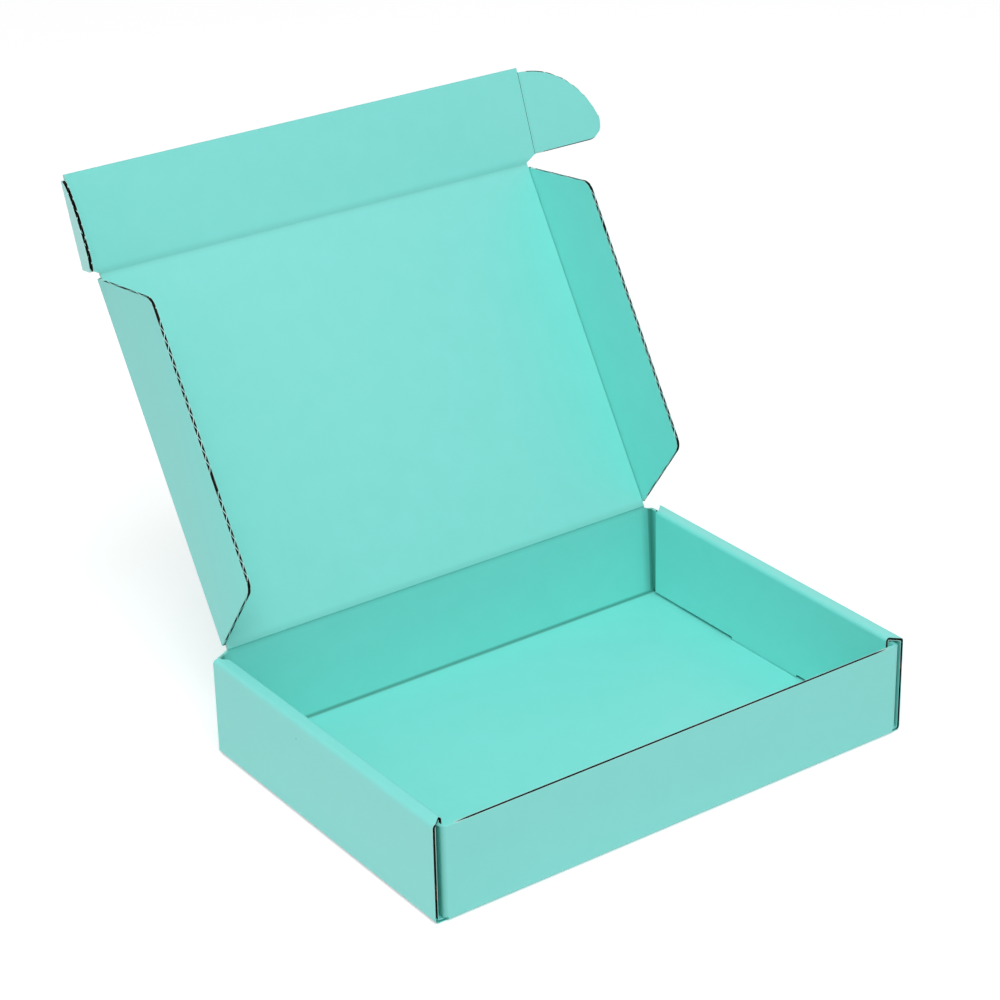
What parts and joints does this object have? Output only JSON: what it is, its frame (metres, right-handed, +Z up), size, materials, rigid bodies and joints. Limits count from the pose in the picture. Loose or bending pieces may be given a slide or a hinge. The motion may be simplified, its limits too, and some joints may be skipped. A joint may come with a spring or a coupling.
{
  "type": "corrugated mailer box",
  "caption": "Flat corrugated mailer box with rolled double side walls, a hinged lid with folding side flaps, and a front tuck flap with two locking ears.",
  "frame": {"origin": "centre of the tray's flat underside, which rests on the table", "axes": "+X to the right along the front wall, +Y from the front wall to the lid's hinge, +Z up"},
  "size_m": [0.3303, 0.3071, 0.2618],
  "materials": {
    "board": "matt coated turquoise liner over a brown fluted core"
  },
  "bodies": {
    "tray": {"tray": "board"},
    "lid": {"lid_panel": "board"},
    "side_flap_right": {"lid_side_flap_right": "board"},
    "side_flap_left": {"lid_side_flap_left": "board"},
    "tuck": {"tuck_flap": "board"},
    "ear_right": {"tuck_ear_right": "board"},
    "ear_left": {"tuck_ear_left": "board"}
  },
  "joints": [
    {"name": "lid_hinge", "type": "hinge", "parent": "tray", "child": "lid", "pos_m": [0, 0.09585, 0.0524], "axis": [-1, 0, 0], "range_deg": [-121.6, 58.4]},
    {"name": "side_flap_right_fold", "type": "hinge", "parent": "lid", "child": "side_flap_right", "pos_m": [0.1284, 0.09585, 0.0524], "axis": [0, 0.524, 0.8517], "range_deg": [0, 90]},
    {"name": "side_flap_left_fold", "type": "hinge", "parent": "lid", "child": "side_flap_left", "pos_m": [-0.1284, 0.09585, 0.0524], "axis": [0, -0.524, -0.8517], "range_deg": [0, 90]},
    {"name": "tuck_flap_fold", "type": "hinge", "parent": "lid", "child": "tuck", "pos_m": [0, 0.19583, 0.21491], "axis": [-1, 0, 0], "range_deg": [-78, 12]},
    {"name": "ear_right_fold", "type": "hinge", "parent": "tuck", "child": "ear_right", "pos_m": [0.1346, 0.19583, 0.21491], "axis": [0, 0.3355, 0.9421], "range_deg": [-90, 0]},
    {"name": "ear_left_fold", "type": "hinge", "parent": "tuck", "child": "ear_left", "pos_m": [-0.1346, 0.19583, 0.21491], "axis": [0, -0.3355, -0.9421], "range_deg": [-20, 70]}
  ]
}
